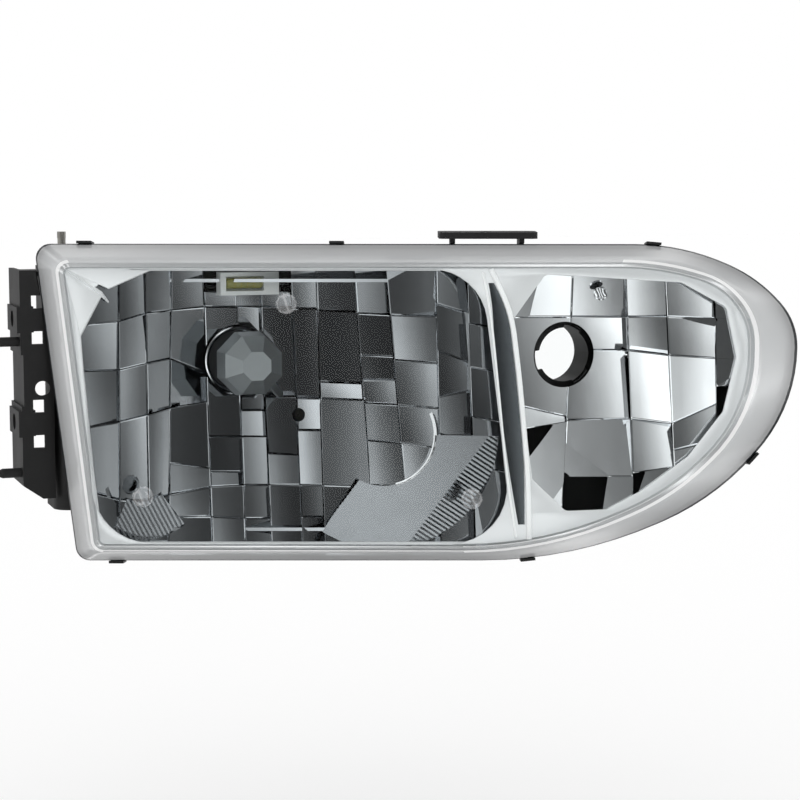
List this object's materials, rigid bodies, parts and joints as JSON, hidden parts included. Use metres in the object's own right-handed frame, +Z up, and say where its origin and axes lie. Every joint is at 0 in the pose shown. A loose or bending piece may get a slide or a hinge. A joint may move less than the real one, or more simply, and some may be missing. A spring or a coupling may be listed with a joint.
{
  "type": "car headlight assembly",
  "caption": "Composite car headlamp with a swept lens, an aimable faceted reflector, a built-in turn-signal chamber, adjusters, side bracket and rear cap.",
  "frame": {"origin": "centre of the bolt hole at the upper face of the top mounting tab", "axes": "+Z up, the lamp faces -Y (the car's forward direction), +X to the right when looking at the lens"},
  "size_m": [0.4655, 0.2644, 0.2031],
  "materials": {
    "black_housing": "moulded black, satin",
    "clear_lens": "clear polycarbonate, polished",
    "bright_chrome": "vacuum-metallised, bright",
    "clip_black": "black spring clip",
    "seal_rubber": "soft butyl",
    "nylon": "natural nylon",
    "zinc_steel": "zinc plated",
    "bulb_glass": "clear quartz",
    "tungsten": "drawn wire",
    "grey_plastic": "moulded grey",
    "brass": "stamped blades",
    "level_clear": "clear moulding",
    "vial_fluid": "yellow-green fluid"
  },
  "bodies": {
    "lamp_body": {"housing": "black_housing", "housing_ribs": "black_housing", "top_tab": "black_housing", "side_bracket": "black_housing", "lens": "clear_lens", "lens_seal": "seal_rubber", "lens_clips": "clip_black", "bezel": "bright_chrome", "signal_reflector": "bright_chrome", "signal_screws": "zinc_steel", "pivot_stud": "zinc_steel", "pivot_nut": "zinc_steel", "adjuster_gearbox": "black_housing", "gearbox_cover": "black_housing", "side_bushing": "nylon", "dust_cap_seal": "seal_rubber", "vent_cap": "seal_rubber"},
    "pivot_joint": {"pivot_cup": "nylon"},
    "aimed_reflector": {"headlamp_reflector": "bright_chrome", "ball_cups": "nylon", "level_holder": "level_clear", "level_vial": "vial_fluid", "bulb_shield": "bright_chrome", "shield_screw": "zinc_steel", "bulb_glass": "bulb_glass", "bulb_filaments": "tungsten", "bulb_base": "grey_plastic", "bulb_o_ring": "seal_rubber", "bulb_terminals": "brass"},
    "locking_ring": {"bulb_locking_ring": "grey_plastic"},
    "rod_upper": {"upper_rod": "zinc_steel"},
    "gear_upper": {"adjuster_gear": "nylon"},
    "shaft_upper": {"drive_shaft": "zinc_steel"},
    "rod_side": {"side_rod": "zinc_steel"},
    "wheel_side": {"side_wheel": "nylon"},
    "rear_cap": {"dust_cap": "black_housing"}
  },
  "joints": [
    {"name": "aim_vertical", "type": "hinge", "parent": "lamp_body", "child": "pivot_joint", "pos_m": [-0.243, 0.093, -0.157], "axis": [1, 0, 0], "range_deg": [-2, 2]},
    {"name": "aim_horizontal", "type": "hinge", "parent": "pivot_joint", "child": "aimed_reflector", "pos_m": [-0.243, 0.093, -0.157], "axis": [0, 0, 1], "range_deg": [-1.25, 1.25]},
    {"name": "upper_rod_slide", "type": "slide", "parent": "lamp_body", "child": "rod_upper", "axis": [0, -1, 0], "range_m": [-0.0042, 0.0042]},
    {"name": "upper_gear_spin", "type": "hinge", "parent": "lamp_body", "child": "gear_upper", "pos_m": [-0.243, 0.132, -0.041], "axis": [0, 1, 0], "range_deg": [-370, 370]},
    {"name": "drive_shaft_spin", "type": "hinge", "parent": "lamp_body", "child": "shaft_upper", "pos_m": [-0.243, 0.125, -0.019], "axis": [0, 0, 1], "range_deg": [-370, 370]},
    {"name": "side_rod_slide", "type": "slide", "parent": "lamp_body", "child": "rod_side", "axis": [0, 1, 0], "range_m": [-0.0039, 0.0039]},
    {"name": "side_wheel_spin", "type": "hinge", "parent": "lamp_body", "child": "wheel_side", "pos_m": [-0.071, 0.121, -0.157], "axis": [0, 1, 0], "range_deg": [-340, 340]},
    {"name": "locking_ring_turn", "type": "hinge", "parent": "aimed_reflector", "child": "locking_ring", "pos_m": [-0.142, 0.099, -0.082], "axis": [0, 1, 0], "range_deg": [0, 30]},
    {"name": "rear_cap_turn", "type": "hinge", "parent": "lamp_body", "child": "rear_cap", "pos_m": [-0.142, 0.133, -0.082], "axis": [0, 1, 0], "range_deg": [0, 45]}
  ],
  "couplings": [
    {"joint": "upper_rod_slide", "follows": "aim_vertical", "m_per_rad": 0.116},
    {"joint": "upper_gear_spin", "follows": "aim_vertical", "ratio": 182.21},
    {"joint": "drive_shaft_spin", "follows": "aim_vertical", "ratio": -182.21},
    {"joint": "side_rod_slide", "follows": "aim_horizontal", "m_per_rad": 0.172},
    {"joint": "side_wheel_spin", "follows": "aim_horizontal", "ratio": 270.18}
  ]
}
